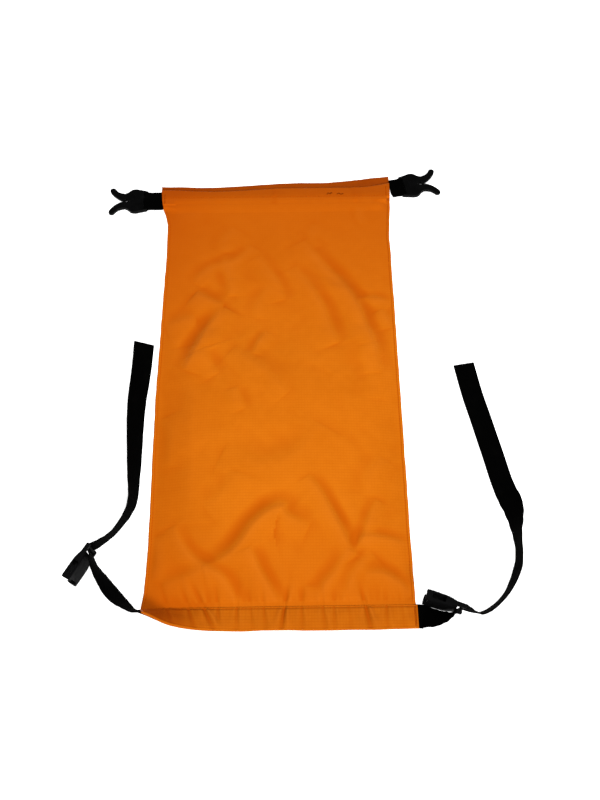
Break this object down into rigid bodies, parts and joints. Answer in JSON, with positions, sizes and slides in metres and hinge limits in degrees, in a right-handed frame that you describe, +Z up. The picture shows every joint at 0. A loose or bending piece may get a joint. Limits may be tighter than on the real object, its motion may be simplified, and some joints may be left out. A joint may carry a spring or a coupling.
{
  "type": "dry bag",
  "caption": "Flat empty roll-top dry bag of coated cloth with a folded bottom hem, a stiffened mouth, and side-release buckles on webbing tabs and long adjustable straps.",
  "frame": {"origin": "middle of the bottom hem line, on the underside of the bag as it lies on its back", "axes": "+X across the bag to the viewer's right, +Y from the bottom hem to the mouth, +Z up out of the front face"},
  "size_m": [0.4896, 0.5976, 0.0359],
  "materials": {
    "orange_cloth": "coated ripstop, soft sheen",
    "coated_cloth": "coated inner face of the same cloth, darker",
    "seam_tape": "thin translucent welded tape",
    "stiffener": "flexible plastic strip",
    "webbing": "woven webbing, dull",
    "thread": "sewing thread",
    "buckle_plastic": "moulded, satin"
  },
  "bodies": {
    "bag": {"back_panel": "orange_cloth", "front_panel_top": "orange_cloth", "left_side_seam": "orange_cloth", "right_side_seam": "orange_cloth", "left_seam_tape": "seam_tape", "right_seam_tape": "seam_tape", "bottom_seam_tape": "seam_tape", "bottom_hem": "orange_cloth", "left_strap_anchor": "webbing", "right_strap_anchor": "webbing", "left_hem_bartack": "thread", "right_hem_bartack": "thread"},
    "front_sheet": {"front_panel": "orange_cloth"},
    "lower_roll": {"lower_roll_sleeve": "orange_cloth"},
    "upper_roll": {"upper_roll_sleeve": "orange_cloth"},
    "mouth": {"back_lip": "coated_cloth", "front_lip": "orange_cloth", "back_lip_stiffener": "stiffener", "front_lip_stiffener": "stiffener", "left_tab_bartack": "thread", "right_tab_bartack": "thread", "left_buckle_tab": "webbing", "right_buckle_tab": "webbing"},
    "left_male": {"left_male_frame": "buckle_plastic"},
    "left_upper_prong": {"left_male_upper_prong": "buckle_plastic"},
    "left_lower_prong": {"left_male_lower_prong": "buckle_plastic"},
    "right_male": {"right_male_frame": "buckle_plastic"},
    "right_upper_prong": {"right_male_upper_prong": "buckle_plastic"},
    "right_lower_prong": {"right_male_lower_prong": "buckle_plastic"},
    "left_strap": {"left_strap": "webbing"},
    "left_female": {"left_female_buckle": "buckle_plastic"},
    "right_strap": {"right_strap": "webbing"},
    "right_female": {"right_female_buckle": "buckle_plastic"}
  },
  "joints": [
    {"name": "third_roll_fold", "type": "hinge", "parent": "bag", "child": "lower_roll", "pos_m": [0, 0.424, 0.0115], "axis": [1, 0, 0], "range_deg": [0, 179]},
    {"name": "second_roll_fold", "type": "hinge", "parent": "lower_roll", "child": "upper_roll", "pos_m": [0, 0.481, 0.008], "axis": [1, 0, 0], "range_deg": [0, 179]},
    {"name": "first_roll_fold", "type": "hinge", "parent": "upper_roll", "child": "mouth", "pos_m": [0, 0.536, 0.0055], "axis": [1, 0, 0], "range_deg": [0, 179]},
    {"name": "fill_lift", "type": "slide", "parent": "bag", "child": "front_sheet", "axis": [0, 0, 1], "range_m": [0, 0.02]},
    {"name": "left_male_swivel", "type": "hinge", "parent": "mouth", "child": "left_male", "pos_m": [-0.1714, 0.55, 0.003], "axis": [0, -1, 0], "range_deg": [-60, 0]},
    {"name": "left_prong_flex", "type": "hinge", "parent": "left_male", "child": "left_upper_prong", "pos_m": [-0.1995, 0.5524, 0.003], "axis": [0, 0, 1], "range_deg": [0, 7]},
    {"name": "left_prong_follow", "type": "hinge", "parent": "left_male", "child": "left_lower_prong", "pos_m": [-0.1995, 0.5476, 0.003], "axis": [0, 0, -1], "range_deg": [0, 7]},
    {"name": "right_male_swivel", "type": "hinge", "parent": "mouth", "child": "right_male", "pos_m": [0.16295, 0.56821, 0.003], "axis": [-0.1736, 0.9848, 0], "range_deg": [-60, 0]},
    {"name": "right_prong_flex", "type": "hinge", "parent": "right_male", "child": "right_upper_prong", "pos_m": [0.19021, 0.57546, 0.003], "axis": [0, 0, -1], "range_deg": [0, 7]},
    {"name": "right_prong_follow", "type": "hinge", "parent": "right_male", "child": "right_lower_prong", "pos_m": [0.19104, 0.57073, 0.003], "axis": [0, 0, 1], "range_deg": [0, 7]},
    {"name": "left_strap_bend", "type": "hinge", "parent": "bag", "child": "left_strap", "pos_m": [-0.1488, 0.0182, 0.014], "axis": [0, 0, 1], "range_deg": [0, 33]},
    {"name": "left_female_swing", "type": "hinge", "parent": "left_strap", "child": "left_female", "pos_m": [-0.1995, 0.083, 0.0189], "axis": [0, 0, -1], "range_deg": [0, 110]},
    {"name": "right_strap_bend", "type": "hinge", "parent": "bag", "child": "right_strap", "pos_m": [0.1472, 0.011, 0.0017], "axis": [0, -1, 0], "range_deg": [0, 80]},
    {"name": "right_female_swing", "type": "hinge", "parent": "right_strap", "child": "right_female", "pos_m": [0.1876, 0.0146, 0.0189], "axis": [0, 0, -1], "range_deg": [0, 110]}
  ],
  "couplings": [
    {"joint": "left_prong_follow", "follows": "left_prong_flex", "ratio": 1},
    {"joint": "right_prong_follow", "follows": "right_prong_flex", "ratio": 1}
  ]
}
